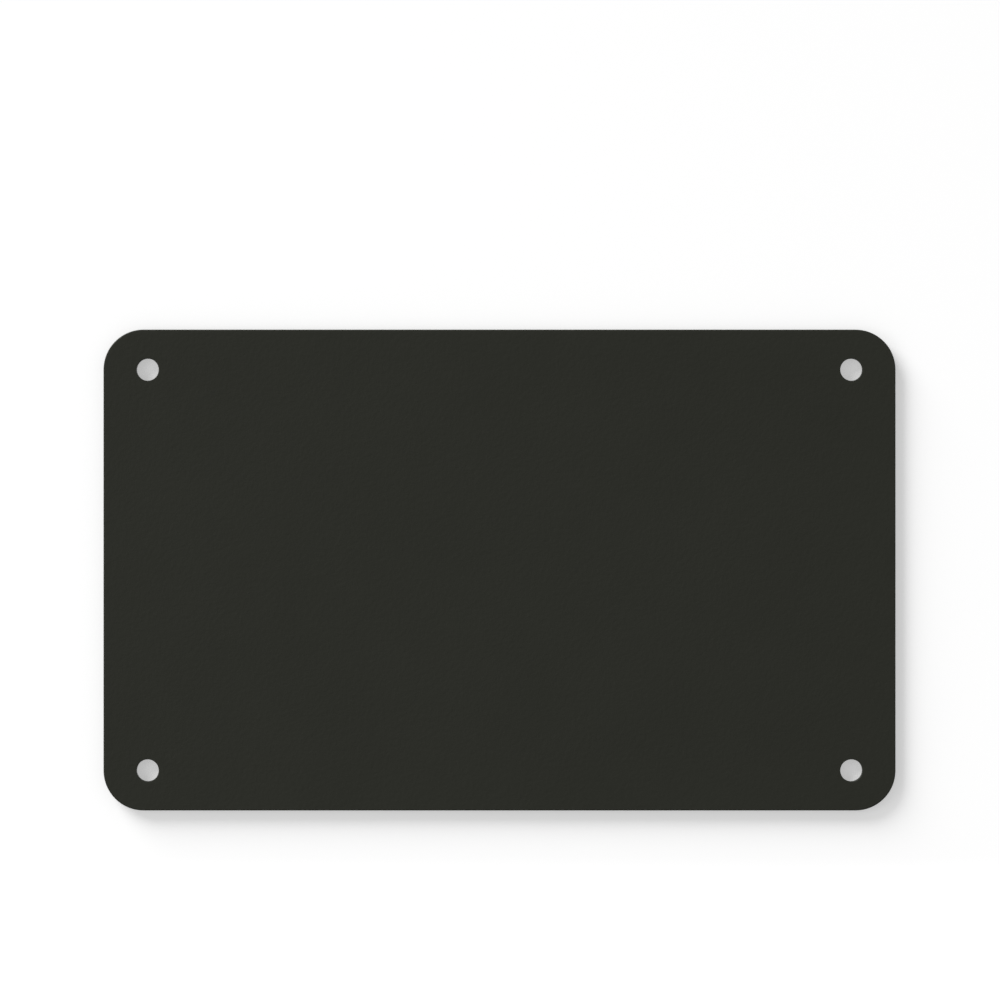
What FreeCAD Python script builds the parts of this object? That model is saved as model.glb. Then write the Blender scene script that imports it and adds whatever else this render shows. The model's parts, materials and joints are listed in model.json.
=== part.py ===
import FreeCAD, Part
import math
import os

import Sketcher

# A kick plate: one flat metal plate with rounded corners and a plain screw hole near each corner.
# It is screwed to the foot of a door to take the knocks, and it is powder-coated all over.
#
# Frame, in millimetres: the plate stands as it is fixed, with +X along its width and +Z up.
# The origin is the centre of the back face, which lies in the plane y = 0 against the door.
# The front face looks along -Y, at y = -plate_thickness.

NODE = "kick_plate"
SHEET = "dimensions"

# The driving dimensions in millimetres, each with the note that stands beside it in the sheet.
DIMENSIONS = {
    "plate_width": (251.0, "overall, along X"),
    "plate_height": (152.4, "overall, along Z"),
    "plate_thickness": (3.0, "front face to back face"),
    "corner_radius": (12.7, "the four rounded corners of the outline"),
    "hole_diameter": (7.0, "plain clearance hole for a 6 mm screw"),
    "hole_spacing_across": (223.0, "centre to centre, along X"),
    "hole_spacing_up": (127.0, "centre to centre, along Z"),
    "front_edge_radius": (0.4, "the front rim, rounded so that it is safe to brush past"),
    "edge_break": (0.25, "the back rim and both lips of each hole, broken square to the cut"),
}

# The corners of a rectangle as signs of x and z, anticlockwise from the upper right.
CORNERS = [(1, 1), (-1, 1), (-1, -1), (1, -1)]

# Sketcher's numbers for the points of a line, an arc or a circle, and for the sketch's origin.
START = 1
END = 2
CENTRE = 3
ORIGIN = (-1, 1)

# How closely two heights or two volumes must agree to count as the same, in mm and mm3.
SAME_PLACE = 0.001
SAME_VOLUME = 0.01


def size(alias):
    """A driving dimension, in millimetres."""
    value, _ = DIMENSIONS[alias]
    return value


def make_sheet(doc):
    """The spreadsheet of driving dimensions: a name, a value with an alias, and a note on each row."""
    sheet = doc.addObject("Spreadsheet::Sheet", SHEET)
    for row, (alias, (value, note)) in enumerate(DIMENSIONS.items(), start=1):
        sheet.set(f"A{row}", alias)
        sheet.set(f"B{row}", str(value))
        sheet.setAlias(f"B{row}", alias)
        sheet.set(f"C{row}", note)
    return sheet


def bind(feature, name, alias):
    """Ties a feature's property, or a sketch's named constraint, to a cell of the sheet."""
    feature.setExpression(name, f"{SHEET}.{alias}")


def add_dimension(sketch, name, alias, *constraint):
    """Adds a named dimension to a sketch and ties it to a cell."""
    index = sketch.addConstraint(Sketcher.Constraint(*constraint, size(alias)))
    sketch.renameConstraint(index, name)
    bind(sketch, f"Constraints.{name}", alias)


def back_plane_sketch(body, name):
    """An empty sketch in the plane of the back face: its x is +X, its y is +Z, its normal is -Y."""
    planes = [plane for plane in body.Origin.OriginFeatures if plane.Role == "XZ_Plane"]
    sketch = body.newObject("Sketcher::SketchObject", name)
    sketch.AttachmentSupport = (planes[0], [""])
    sketch.MapMode = "FlatFace"
    return sketch


def corner_point(corner, across, up):
    """The point this far across and up from the sketch's origin, towards a corner."""
    return FreeCAD.Vector(corner[0] * across, corner[1] * up, 0)


def draw_outline(body):
    """A rectangle centred on the origin, with its four corners rounded to one radius."""
    sketch = back_plane_sketch(body, "outline")
    radius = size("corner_radius")
    across = size("plate_width") / 2
    up = size("plate_height") / 2
    normal = FreeCAD.Vector(0, 0, 1)
    quarter = math.pi / 2

    arcs = []
    for turn, corner in enumerate(CORNERS):
        centre = corner_point(corner, across - radius, up - radius)
        circle = Part.Circle(centre, normal, radius)
        arcs.append(sketch.addGeometry(Part.ArcOfCircle(circle, turn * quarter, (turn + 1) * quarter)))

    sides = []
    for arc, next_arc in zip(arcs, arcs[1:] + arcs[:1]):
        side = Part.LineSegment(sketch.Geometry[arc].EndPoint, sketch.Geometry[next_arc].StartPoint)
        sides.append(sketch.addGeometry(side))
    top, left, bottom, right = sides

    for side, arc, next_arc in zip(sides, arcs, arcs[1:] + arcs[:1]):
        sketch.addConstraint(Sketcher.Constraint("Tangent", arc, END, side, START))
        sketch.addConstraint(Sketcher.Constraint("Tangent", side, END, next_arc, START))
    for side in (top, bottom):
        sketch.addConstraint(Sketcher.Constraint("Horizontal", side))
    for side in (left, right):
        sketch.addConstraint(Sketcher.Constraint("Vertical", side))
    for arc in arcs[1:]:
        sketch.addConstraint(Sketcher.Constraint("Equal", arcs[0], arc))
    sketch.addConstraint(Sketcher.Constraint("Symmetric", arcs[0], CENTRE, arcs[2], CENTRE, *ORIGIN))

    add_dimension(sketch, "width", "plate_width", "DistanceX", left, START, right, START)
    add_dimension(sketch, "height", "plate_height", "DistanceY", bottom, START, top, START)
    add_dimension(sketch, "corner", "corner_radius", "Radius", arcs[0])
    return sketch


def draw_hole_centres(body):
    """A circle for each screw hole, at the corners of a rectangle centred on the origin."""
    sketch = back_plane_sketch(body, "hole_centres")
    across = size("hole_spacing_across") / 2
    up = size("hole_spacing_up") / 2
    radius = size("hole_diameter") / 2
    normal = FreeCAD.Vector(0, 0, 1)

    holes = []
    for corner in CORNERS:
        holes.append(sketch.addGeometry(Part.Circle(corner_point(corner, across, up), normal, radius)))
    upper_right, upper_left, lower_left, lower_right = holes

    for hole in holes[1:]:
        sketch.addConstraint(Sketcher.Constraint("Equal", holes[0], hole))
    for hole, opposite in ((upper_right, lower_left), (upper_left, lower_right)):
        sketch.addConstraint(Sketcher.Constraint("Symmetric", hole, CENTRE, opposite, CENTRE, *ORIGIN))
    sketch.addConstraint(Sketcher.Constraint("Horizontal", upper_left, CENTRE, upper_right, CENTRE))
    sketch.addConstraint(Sketcher.Constraint("Vertical", upper_left, CENTRE, lower_left, CENTRE))

    add_dimension(
        sketch, "across", "hole_spacing_across", "DistanceX", upper_left, CENTRE, upper_right, CENTRE
    )
    add_dimension(sketch, "up", "hole_spacing_up", "DistanceY", lower_left, CENTRE, upper_left, CENTRE)
    add_dimension(sketch, "diameter", "hole_diameter", "Diameter", holes[0])
    return sketch


def edges_at(shape, y):
    """The names of a shape's edges that lie in the plane at this y."""
    names = []
    for number, edge in enumerate(shape.Edges, start=1):
        if all(abs(vertex.Y - y) < SAME_PLACE for vertex in edge.Vertexes):
            names.append(f"Edge{number}")
    return names


def closed_edges(shape, names):
    """Those of the named edges that close on themselves, as the lip of a round hole does."""
    return [name for name in names if shape.getElement(name).isClosed()]


def make_plate(doc):
    """The plate: cut to its outline, rims finished, then drilled for its screws and deburred."""
    body = doc.addObject("PartDesign::Body", NODE)
    body.Label = NODE
    front = -size("plate_thickness")
    back = 0.0

    blank = body.newObject("PartDesign::Pad", "blank")
    blank.Profile = draw_outline(body)
    bind(blank, "Length", "plate_thickness")
    doc.recompute()

    front_rim = body.newObject("PartDesign::Fillet", "front_rim")
    front_rim.Base = (blank, edges_at(blank.Shape, front))
    bind(front_rim, "Radius", "front_edge_radius")
    doc.recompute()

    back_rim = body.newObject("PartDesign::Chamfer", "back_rim")
    back_rim.Base = (front_rim, edges_at(front_rim.Shape, back))
    bind(back_rim, "Size", "edge_break")
    doc.recompute()

    screw_holes = body.newObject("PartDesign::Hole", "screw_holes")
    screw_holes.Profile = draw_hole_centres(body)
    screw_holes.ThreadType = "None"
    screw_holes.HoleCutType = "None"
    screw_holes.DepthType = "ThroughAll"
    screw_holes.Reversed = True
    bind(screw_holes, "Diameter", "hole_diameter")
    doc.recompute()

    hole_lips = body.newObject("PartDesign::Chamfer", "hole_lips")
    lips = edges_at(screw_holes.Shape, front) + edges_at(screw_holes.Shape, back)
    hole_lips.Base = (screw_holes, closed_edges(screw_holes.Shape, lips))
    bind(hole_lips, "Size", "edge_break")
    doc.recompute()

    check_holes_go_through(back_rim.Shape, screw_holes.Shape)
    return body


def check_holes_go_through(before, after):
    """Drilling must take away four full cylinders: a hole that points off the plate takes nothing."""
    one_hole = math.pi * (size("hole_diameter") / 2) ** 2 * size("plate_thickness")
    drilled = len(CORNERS) * one_hole
    if abs(before.Volume - after.Volume - drilled) > SAME_VOLUME:
        raise RuntimeError(f"drilling took {before.Volume - after.Volume:.2f} mm3, not {drilled:.2f} mm3")


def check_document(doc):
    """A recompute can leave a feature failed or a sketch loose without raising, so each is looked at."""
    for feature in doc.Objects:
        if "Invalid" in feature.State or "Error" in feature.State:
            raise RuntimeError(f"{feature.Name} is {feature.State}")
        if feature.TypeId == "Sketcher::SketchObject" and not feature.FullyConstrained:
            raise RuntimeError(f"the sketch {feature.Name} isn't fully constrained")


def check_shape(part):
    """A sub-part must be one whole, valid solid."""
    shape = part.Shape
    if shape.isNull() or not shape.isValid() or len(shape.Solids) != 1:
        raise RuntimeError(f"{part.Label} isn't one valid solid")


def main():
    doc = FreeCAD.newDocument("kick_plate_document")
    make_sheet(doc)
    doc.recompute()
    sub_parts = [make_plate(doc)]
    check_document(doc)

    os.makedirs("parts", exist_ok=True)
    for part in sub_parts:
        check_shape(part)
        part.Shape.exportStep(f"parts/{part.Label}.step")
        box = part.Shape.optimalBoundingBox()
        extents = f"{box.XLength:.2f} x {box.YLength:.2f} x {box.ZLength:.2f} mm"
        print(f"{part.Label}: {extents}, {part.Shape.Volume:.1f} mm3")


main()
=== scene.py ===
import json
import math

import bmesh
import bpy
from mathutils import Matrix, Vector


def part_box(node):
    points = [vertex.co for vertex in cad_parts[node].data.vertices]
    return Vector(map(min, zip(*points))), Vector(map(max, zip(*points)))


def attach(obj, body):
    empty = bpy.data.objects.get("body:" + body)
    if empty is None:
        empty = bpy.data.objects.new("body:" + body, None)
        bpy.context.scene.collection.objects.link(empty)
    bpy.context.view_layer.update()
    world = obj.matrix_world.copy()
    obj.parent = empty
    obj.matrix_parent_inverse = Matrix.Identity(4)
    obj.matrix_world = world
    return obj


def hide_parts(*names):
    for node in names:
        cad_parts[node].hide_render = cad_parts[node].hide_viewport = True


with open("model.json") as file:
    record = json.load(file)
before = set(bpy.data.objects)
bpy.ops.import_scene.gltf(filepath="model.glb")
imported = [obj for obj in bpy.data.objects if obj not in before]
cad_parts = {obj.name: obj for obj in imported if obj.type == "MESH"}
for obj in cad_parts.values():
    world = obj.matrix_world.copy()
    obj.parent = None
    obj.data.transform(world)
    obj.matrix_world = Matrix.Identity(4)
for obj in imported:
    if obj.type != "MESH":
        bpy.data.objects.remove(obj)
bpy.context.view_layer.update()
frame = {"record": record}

# The kick plate: one powder-coated metal plate, upright just off a pale wall, seen square on.
# Lengths are in metres, in the frame of the CAD model: +X along the plate, +Y into the wall, +Z up.
# Named angles are in degrees.

NODE = "kick_plate"
BODY = "root"
MM = 0.001

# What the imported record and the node's box don't say about the plate, as its design has it.
# The front rim is rounded to a radius, and the back rim and the hole lips are broken.
CORNER_RADIUS = 12.7 * MM
FRONT_EDGE_RADIUS = 0.4 * MM
EDGE_BREAK = 0.25 * MM

# How finely the plate's mesh is cut: steps round a quarter circle, rings round a hole, cells in the
# rest of each quarter of the face, and steps round the edges.
QUARTER_STEPS = 24
RINGS = 5
CELLS_ACROSS = 12
CELLS_UP = 8
FRONT_EDGE_STEPS = 5
EDGE_BREAK_STEPS = 3

# Points closer than this are one point, and an edge that turns by more than this is sharp.
MERGE_GAP = 0.001 * MM
SHARP_ANGLE = 60

# A bevel's profile that makes it round, and the weight that keeps a large face's shading flat.
ROUND_PROFILE = 0.5
LARGE_FACE_WEIGHT = 100

# The powder coat: its colour and gloss.
COAT_COLOUR = (0.0246, 0.0261, 0.0186)
COAT_SPECULAR = 0.25
COAT_ROUGHNESS = 0.55

# How its tone and roughness stray: broad blotches, a finer mottle, and a thin coat on the arrises.
BLOTCH_SIZE = 40 * MM
BLOTCH_DETAIL = 3
BLOTCH_TONE = 0.02
BLOTCH_ROUGHNESS = 0.035
MOTTLE_SIZE = 5 * MM
MOTTLE_DETAIL = 3
MOTTLE_TONE = 0.01
THIN_COAT_TONE = 0.5
THIN_COAT_ROUGHNESS = -0.1

# Its relief: orange peel, grain, and the drag lines of the cut, which run through the thickness.
PEEL_SIZE = 1.2 * MM
PEEL_DETAIL = 1
PEEL_HEIGHT = 0.065 * MM
GRAIN_SIZE = 0.4 * MM
GRAIN_DETAIL = 2
GRAIN_HEIGHT = 0.028 * MM
DRAG_LINE_SIZE = 0.45 * MM
DRAG_LINE_DETAIL = 2
DRAG_LINE_HEIGHT = 0.05 * MM
DRAG_LINE_STRETCH = 0.03

# Most of a noise's values lie between these two.
NOISE_LOW = 0.3
NOISE_HIGH = 0.7

# How square on a rounded edge lies, times how far aside it lies, comes to this at the most.
ARRIS_PEAK = 0.25

# The camera. Its lens and sensor are in millimetres, as Blender has them.
LENS = 200
SENSOR = 36
PLATE_SHARE_OF_VIEW = 0.7922
CAMERA_ABOVE_CENTRE = 22.2 * MM
CAMERA_RIGHT_OF_CENTRE = 0.15 * MM

# The paper sweep, whose foot curves forward in a cove, and the floor.
WALL_GAP = 1.0 * MM
FLOOR_DROP = 75 * MM
COVE_RADIUS = 60 * MM
COVE_STEPS = 12
WALL_HALF_WIDTH = 1.2
WALL_HEIGHT = 2.0
FLOOR_HALF_SIZE = 5.0
FLOOR_CLEARANCE = 0.2 * MM
PAPER_WHITENESS = 0.9
PAPER_GLOW = 0.385

# The light: a broad key from the upper left, a soft box in front on the left, a soft box behind on
# the right, and an even dim surround, which the camera sees as white. The key's angles say how far
# it comes from square on, and how far round from +X, anticlockwise as the front is seen. The boxes'
# powers are in watts, and the key's strength is in watts per square metre.
KEY_OFF_SQUARE = 68
KEY_ROUND = 131
KEY_SPREAD = 38
KEY_STRENGTH = 2.6
SIDE_BOX_PLACE = (-1.0, -1.0, -0.05)
SIDE_BOX_WIDTH = 0.6
SIDE_BOX_POWER = 1.5
BACK_BOX_PLACE = (0.8, 0.9, 0.1)
BACK_BOX_WIDTH = 0.7
BACK_BOX_POWER = 5.5
SURROUND_LIGHT = 0.31
SURROUND_SEEN = 1.0


def plate_sizes():
    """The plate's outline and its holes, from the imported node's box and the record's mount."""
    low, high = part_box(NODE)
    mounts = {mount["name"]: mount for mount in frame["record"]["mounts"]}
    holes = mounts["screw_holes"]["dims"]
    return {
        "half_width": high.x,
        "half_height": high.z,
        "front": low.y,
        "back": high.y,
        "hole_x": holes["spacing_x_mm"] * MM / 2,
        "hole_z": holes["spacing_y_mm"] * MM / 2,
        "hole_radius": holes["hole_r_mm"] * MM,
    }


# ---------------------------------------------------------------- the plate's mesh


def steps(start, end, count):
    """The points of a straight stretch in even steps, without its last point."""
    return [Vector(start).lerp(Vector(end), i / count) for i in range(count)]


def arc(centre, radius, first, last, count):
    """The points of an arc in the plane of the back face, without its last point, angles in degrees."""
    points = []
    for i in range(count):
        angle = math.radians(first + (last - first) * i / count)
        points.append(Vector(centre) + radius * Vector((math.cos(angle), 0, math.sin(angle))))
    return points


def add_quads(bm, rows):
    """Joins each row of points to the next with four-sided faces."""
    rows = [[bm.verts.new(point) for point in row] for row in rows]
    for row, next_row in zip(rows, rows[1:]):
        for i in range(len(row) - 1):
            bm.faces.new((row[i], row[i + 1], next_row[i + 1], next_row[i]))


def add_quarter(bm, size):
    """The upper right quarter of the plate's face, all in quads.

    A patch at the corner runs in rings from the screw hole out to the rounded corner, and the rest
    of the quarter is a grid that meets the patch point for point.
    """
    right, top = size["half_width"], size["half_height"]
    left = size["hole_x"] - (right - size["hole_x"])
    foot = size["hole_z"] - (top - size["hole_z"])
    corner = (right - CORNER_RADIUS, 0, top - CORNER_RADIUS)
    half = QUARTER_STEPS // 2

    patch_left = steps((left, 0, top), (left, 0, foot), QUARTER_STEPS)
    patch_foot = steps((left, 0, foot), (right, 0, foot), QUARTER_STEPS)
    outline = arc(corner, CORNER_RADIUS, 0, 90, QUARTER_STEPS)
    outline += steps((corner[0], 0, top), (left, 0, top), half)
    outline += patch_left + patch_foot
    outline += steps((right, 0, foot), (right, 0, corner[2]), half)
    hole = arc((size["hole_x"], 0, size["hole_z"]), size["hole_radius"], 0, 360, len(outline))
    rings = []
    for ring in range(RINGS + 1):
        points = [near.lerp(far, ring / RINGS) for near, far in zip(hole, outline)]
        rings.append(points + points[:1])
    add_quads(bm, rings)

    middle_xs = [left * i / CELLS_ACROSS for i in range(CELLS_ACROSS + 1)]
    middle_zs = [foot * i / CELLS_UP for i in range(CELLS_UP + 1)]
    patch_xs = [point.x for point in patch_foot] + [right]
    patch_zs = [point.z for point in patch_left] + [foot]
    for xs, zs in ((middle_xs, middle_zs), (middle_xs, patch_zs), (patch_xs, middle_zs)):
        add_quads(bm, [[(x, 0, z) for x in xs] for z in zs])


def add_face(bm, size):
    """The plate's whole face with its holes, in the plane of the back: a quarter, mirrored twice."""
    add_quarter(bm, size)
    for axis in ("X", "Z"):
        everything = bm.verts[:] + bm.edges[:] + bm.faces[:]
        bmesh.ops.mirror(bm, geom=everything, matrix=Matrix(), merge_dist=MERGE_GAP, axis=axis)
    bmesh.ops.remove_doubles(bm, verts=bm.verts[:], dist=MERGE_GAP)


def thicken(bm, size):
    """Carries a copy of the face forward to the front of the plate, with walls in between."""
    made = bmesh.ops.extrude_face_region(bm, geom=bm.faces[:], use_keep_orig=True)
    front = [item for item in made["geom"] if isinstance(item, bmesh.types.BMVert)]
    bmesh.ops.translate(bm, verts=front, vec=(0, size["front"] - size["back"], 0))
    bmesh.ops.recalc_face_normals(bm, faces=bm.faces[:])


def sharp_edges(bm):
    """The edges that no bevel has rounded yet, where a face of the plate meets a cut wall."""
    return [edge for edge in bm.edges if edge.calc_face_angle() > math.radians(SHARP_ANGLE)]


def is_hole_edge(edge, size):
    """Whether an edge lies on a screw hole rather than on the outline."""
    middle = (edge.verts[0].co + edge.verts[1].co) / 2
    away = math.hypot(abs(middle.x) - size["hole_x"], abs(middle.z) - size["hole_z"])
    return away < size["hole_radius"] + EDGE_BREAK


def bevel(bm, edges, width, count):
    """Rounds the edges over this width, in this many steps."""
    bmesh.ops.bevel(
        bm,
        geom=edges,
        offset=width,
        offset_type="OFFSET",
        segments=count,
        profile=ROUND_PROFILE,
        affect="EDGES",
    )


def finish_edges(bm, size):
    """Rounds the front rim, and breaks the back rim and the lips of the holes."""
    middle = (size["front"] + size["back"]) / 2
    front_rim = [
        edge
        for edge in sharp_edges(bm)
        if edge.verts[0].co.y < middle and not is_hole_edge(edge, size)
    ]
    bevel(bm, front_rim, FRONT_EDGE_RADIUS, FRONT_EDGE_STEPS)
    bevel(bm, sharp_edges(bm), EDGE_BREAK, EDGE_BREAK_STEPS)


def keep_faces_flat(plate):
    """Smooth shading round the rims and holes, with the large faces still shaded flat."""
    plate.data.shade_smooth()
    weighted = plate.modifiers.new("weighted_normals", "WEIGHTED_NORMAL")
    weighted.weight = LARGE_FACE_WEIGHT
    weighted.keep_sharp = True
    bpy.context.view_layer.objects.active = plate
    bpy.ops.object.modifier_apply(modifier=weighted.name)


def build_plate(size):
    """The plate as one closed mesh object."""
    bm = bmesh.new()
    add_face(bm, size)
    thicken(bm, size)
    finish_edges(bm, size)
    mesh = bpy.data.meshes.new("coated_plate")
    bm.to_mesh(mesh)
    bm.free()
    plate = bpy.data.objects.new("coated_plate", mesh)
    bpy.context.scene.collection.objects.link(plate)
    keep_faces_flat(plate)
    return plate


# ---------------------------------------------------------------- materials


def new_material(name):
    """An empty node material: the material, its node tree and its surface socket."""
    material = bpy.data.materials.new(name)
    material.use_nodes = True
    tree = material.node_tree
    tree.nodes.clear()
    output = tree.nodes.new("ShaderNodeOutputMaterial")
    return material, tree, output.inputs["Surface"]


def noise(tree, place, size, detail):
    """A noise texture whose lumps are about this size, in metres. Its values lie about a half."""
    node = tree.nodes.new("ShaderNodeTexNoise")
    node.inputs["Scale"].default_value = 1 / size
    node.inputs["Detail"].default_value = detail
    tree.links.new(place, node.inputs["Vector"])
    return node.outputs["Fac"]


def calculate(tree, operation, *values):
    """One step of arithmetic on these values, each a socket or a number."""
    node = tree.nodes.new("ShaderNodeMath")
    node.operation = operation
    for socket, value in zip(node.inputs, values):
        if isinstance(value, (int, float)):
            socket.default_value = value
        else:
            tree.links.new(value, socket)
    return node.outputs["Value"]


def spread(tree, value, low, high):
    """Turns a noise's values into low to high."""
    node = tree.nodes.new("ShaderNodeMapRange")
    node.inputs["From Min"].default_value = NOISE_LOW
    node.inputs["From Max"].default_value = NOISE_HIGH
    node.inputs["To Min"].default_value = low
    node.inputs["To Max"].default_value = high
    tree.links.new(value, node.inputs["Value"])
    return node.outputs["Result"]


def relief(tree, height, most, below=None):
    """Relief up to this high, in metres, on top of the relief below it."""
    node = tree.nodes.new("ShaderNodeBump")
    node.inputs["Distance"].default_value = most
    tree.links.new(height, node.inputs["Height"])
    if below is not None:
        tree.links.new(below, node.inputs["Normal"])
    return node.outputs["Normal"]


def squareness(tree, normal):
    """How square on the surface lies to the plate: 1 on the front and back, 0 on the cut walls."""
    split = tree.nodes.new("ShaderNodeSeparateXYZ")
    tree.links.new(normal, split.inputs["Vector"])
    return calculate(tree, "ABSOLUTE", split.outputs["Y"])


def thin_coat(tree, square_on, aside, mottle):
    """How thin the coat has run: nothing on the flat, up to 1 in patches along the arrises."""
    arris = calculate(tree, "MULTIPLY", square_on, aside)
    return calculate(tree, "MULTIPLY", arris, spread(tree, mottle, 0, 1 / ARRIS_PEAK))


def coat_colour(tree, blotches, mottle, thin):
    """The coat's colour, made lighter and darker by the blotches and mottle and paler where thin."""
    tone = calculate(tree, "ADD", spread(tree, blotches, -BLOTCH_TONE, BLOTCH_TONE), 1)
    tone = calculate(tree, "ADD", tone, spread(tree, mottle, -MOTTLE_TONE, MOTTLE_TONE))
    tone = calculate(tree, "ADD", tone, calculate(tree, "MULTIPLY", thin, THIN_COAT_TONE))
    node = tree.nodes.new("ShaderNodeVectorMath")
    node.operation = "SCALE"
    node.inputs[0].default_value = COAT_COLOUR
    tree.links.new(tone, node.inputs["Scale"])
    return node.outputs["Vector"]


def coat_roughness(tree, blotches, thin):
    """The coat's roughness, which wanders with the blotches and is a little less where thin."""
    low = COAT_ROUGHNESS - BLOTCH_ROUGHNESS
    high = COAT_ROUGHNESS + BLOTCH_ROUGHNESS
    smoother = calculate(tree, "MULTIPLY", thin, THIN_COAT_ROUGHNESS)
    return calculate(tree, "ADD", spread(tree, blotches, low, high), smoother)


def coat_relief(tree, place, aside):
    """Drag lines showing faintly through on the cut walls, then orange peel and grain all over."""
    through = tree.nodes.new("ShaderNodeMapping")
    through.inputs["Scale"].default_value = (1, DRAG_LINE_STRETCH, 1)
    tree.links.new(place, through.inputs["Vector"])
    lines = noise(tree, through.outputs["Vector"], DRAG_LINE_SIZE, DRAG_LINE_DETAIL)
    peel = noise(tree, place, PEEL_SIZE, PEEL_DETAIL)
    grain = noise(tree, place, GRAIN_SIZE, GRAIN_DETAIL)
    surface = relief(tree, calculate(tree, "MULTIPLY", lines, aside), DRAG_LINE_HEIGHT)
    surface = relief(tree, peel, PEEL_HEIGHT, surface)
    return relief(tree, grain, GRAIN_HEIGHT, surface)


def powder_coat_material():
    """Matte near-black powder coat, a little uneven in tone and gloss, with a fine relief."""
    material, tree, surface = new_material("matte_powder_coat")
    shader = tree.nodes.new("ShaderNodeBsdfPrincipled")
    shader.inputs["Specular IOR Level"].default_value = COAT_SPECULAR
    tree.links.new(shader.outputs["BSDF"], surface)

    where = tree.nodes.new("ShaderNodeTexCoord")
    place = where.outputs["Object"]
    blotches = noise(tree, place, BLOTCH_SIZE, BLOTCH_DETAIL)
    mottle = noise(tree, place, MOTTLE_SIZE, MOTTLE_DETAIL)
    square_on = squareness(tree, where.outputs["Normal"])
    aside = calculate(tree, "SUBTRACT", 1, square_on)
    thin = thin_coat(tree, square_on, aside, mottle)

    tree.links.new(coat_colour(tree, blotches, mottle, thin), shader.inputs["Base Color"])
    tree.links.new(coat_roughness(tree, blotches, thin), shader.inputs["Roughness"])
    tree.links.new(coat_relief(tree, place, aside), shader.inputs["Normal"])
    return material


def stage_material():
    """Pale matt studio paper with a little light of its own, seen from its front side only."""
    material, tree, surface = new_material("studio_paper")
    paper = tree.nodes.new("ShaderNodeBsdfPrincipled")
    paper.inputs["Base Color"].default_value = (PAPER_WHITENESS, PAPER_WHITENESS, PAPER_WHITENESS, 1)
    paper.inputs["Roughness"].default_value = 1
    paper.inputs["Specular IOR Level"].default_value = 0
    paper.inputs["Emission Color"].default_value = (1, 1, 1, 1)
    paper.inputs["Emission Strength"].default_value = PAPER_GLOW
    clear = tree.nodes.new("ShaderNodeBsdfTransparent")
    side = tree.nodes.new("ShaderNodeNewGeometry")
    mix = tree.nodes.new("ShaderNodeMixShader")
    tree.links.new(side.outputs["Backfacing"], mix.inputs["Fac"])
    tree.links.new(paper.outputs["BSDF"], mix.inputs[1])
    tree.links.new(clear.outputs["BSDF"], mix.inputs[2])
    tree.links.new(mix.outputs["Shader"], surface)
    return material


# ---------------------------------------------------------------- the stage, the light and the camera


def put_on_stage(name, mesh, material):
    """A piece of the stage. It takes the plate's shadow but throws no light or shade of its own."""
    mesh.materials.append(material)
    piece = bpy.data.objects.new(name, mesh)
    piece.visible_diffuse = False
    piece.visible_glossy = False
    piece.visible_shadow = False
    bpy.context.scene.collection.objects.link(piece)
    return piece


def build_sweep(size, material):
    """The paper sweep behind the plate: a wall that curves forward at its foot to meet the floor."""
    wall = size["back"] + WALL_GAP
    floor = -size["half_height"] - FLOOR_DROP
    profile = [Vector((0, wall, floor + WALL_HEIGHT))]
    for i in range(COVE_STEPS + 1):
        angle = math.pi / 2 * i / COVE_STEPS
        y = wall - COVE_RADIUS * (1 - math.cos(angle))
        z = floor + COVE_RADIUS * (1 - math.sin(angle))
        profile.append(Vector((0, y, z)))
    bm = bmesh.new()
    across = Vector((WALL_HALF_WIDTH, 0, 0))
    add_quads(bm, [[point + across, point - across] for point in profile])
    mesh = bpy.data.meshes.new("sweep")
    bm.to_mesh(mesh)
    bm.free()
    mesh.shade_smooth()
    return put_on_stage("sweep", mesh, material)


def build_floor(size, material):
    """A plain pale floor, just under the foot of the sweep and all round it."""
    bm = bmesh.new()
    bmesh.ops.create_grid(bm, x_segments=1, y_segments=1, size=FLOOR_HALF_SIZE)
    mesh = bpy.data.meshes.new("floor")
    bm.to_mesh(mesh)
    bm.free()
    floor = put_on_stage("floor", mesh, material)
    floor.location.z = -size["half_height"] - FLOOR_DROP - FLOOR_CLEARANCE
    return floor


def add_light(name, kind, place, strength):
    """A light at this place, turned to face the middle of the plate."""
    data = bpy.data.lights.new(name, kind)
    data.energy = strength
    light = bpy.data.objects.new(name, data)
    light.location = place
    light.rotation_mode = "QUATERNION"
    light.rotation_quaternion = (-Vector(place)).to_track_quat("-Z", "Y")
    bpy.context.scene.collection.objects.link(light)
    return data


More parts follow.
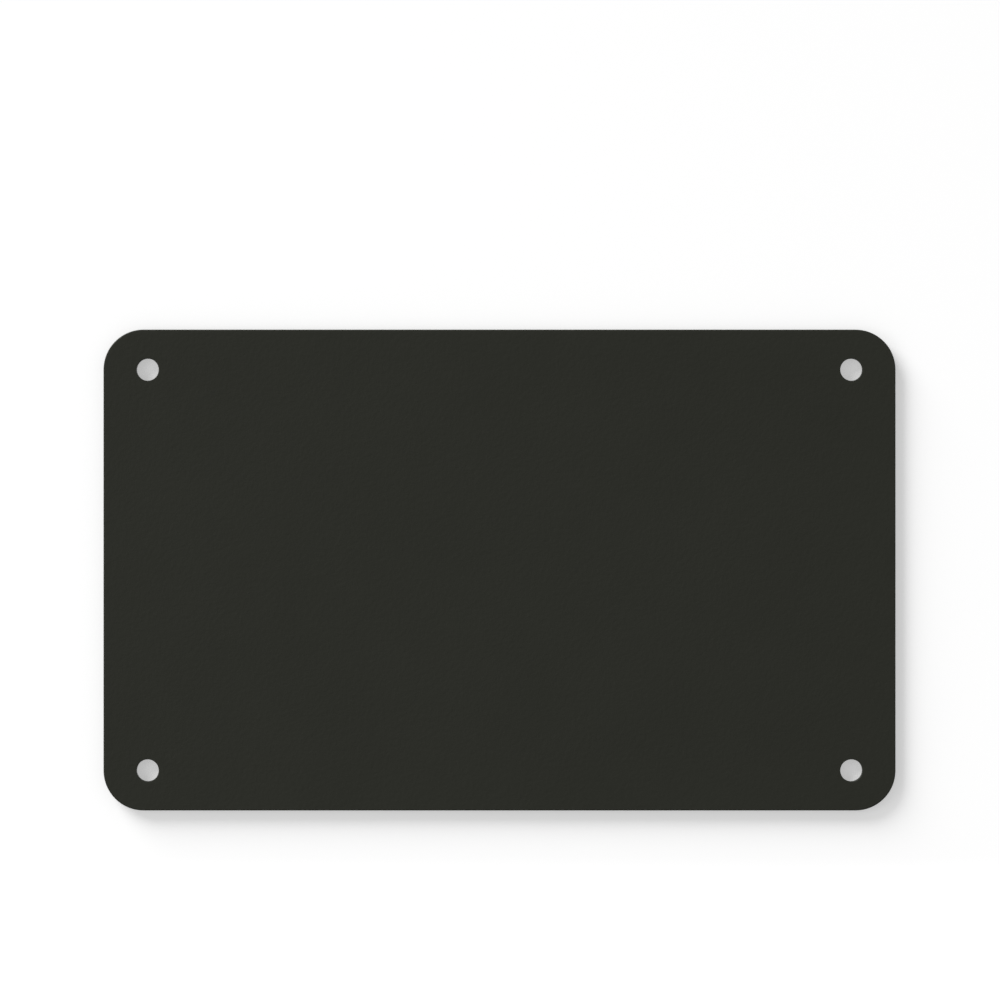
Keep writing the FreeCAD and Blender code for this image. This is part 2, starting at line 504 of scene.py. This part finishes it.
def build_lights():
    """The key, the soft box in front and the soft box behind."""
    off, turn = math.radians(KEY_OFF_SQUARE), math.radians(KEY_ROUND)
    key_place = (math.sin(off) * math.cos(turn), -math.cos(off), math.sin(off) * math.sin(turn))
    key = add_light("key", "SUN", key_place, KEY_STRENGTH)
    key.angle = math.radians(KEY_SPREAD)
    for name, place, width, power in (
        ("side_box", SIDE_BOX_PLACE, SIDE_BOX_WIDTH, SIDE_BOX_POWER),
        ("back_box", BACK_BOX_PLACE, BACK_BOX_WIDTH, BACK_BOX_POWER),
    ):
        box = add_light(name, "AREA", place, power)
        box.shape = "SQUARE"
        box.size = width


def build_world():
    """An even dim light all round, which the camera sees as bright white."""
    world = bpy.data.worlds.new("studio")
    bpy.context.scene.world = world
    world.use_nodes = True
    tree = world.node_tree
    tree.nodes.clear()
    output = tree.nodes.new("ShaderNodeOutputWorld")
    path = tree.nodes.new("ShaderNodeLightPath")
    mix = tree.nodes.new("ShaderNodeMixShader")
    for strength, socket in ((SURROUND_LIGHT, mix.inputs[1]), (SURROUND_SEEN, mix.inputs[2])):
        background = tree.nodes.new("ShaderNodeBackground")
        background.inputs["Color"].default_value = (1, 1, 1, 1)
        background.inputs["Strength"].default_value = strength
        tree.links.new(background.outputs["Background"], socket)
    tree.links.new(path.outputs["Is Camera Ray"], mix.inputs["Fac"])
    tree.links.new(mix.outputs["Shader"], output.inputs["Surface"])


def build_camera(size):
    """Level and square on to the plate, above its middle, so that the plate is low in the view."""
    data = bpy.data.cameras.new("camera")
    data.lens = LENS
    data.sensor_width = SENSOR
    view_width = 2 * size["half_width"] / PLATE_SHARE_OF_VIEW
    distance = view_width * LENS / SENSOR
    camera = bpy.data.objects.new("camera", data)
    camera.location = (CAMERA_RIGHT_OF_CENTRE, size["front"] - distance, CAMERA_ABOVE_CENTRE)
    camera.rotation_euler = (math.pi / 2, 0, 0)
    bpy.context.scene.collection.objects.link(camera)
    bpy.context.scene.camera = camera


plate_size = plate_sizes()
plate = build_plate(plate_size)
plate.data.materials.append(powder_coat_material())
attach(plate, BODY)
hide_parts(NODE)

paper = stage_material()
build_sweep(plate_size, paper)
build_floor(plate_size, paper)
build_lights()
build_world()
build_camera(plate_size)

# Colours go into the picture as they are, with no film curve.
bpy.context.scene.view_settings.view_transform = "Standard"
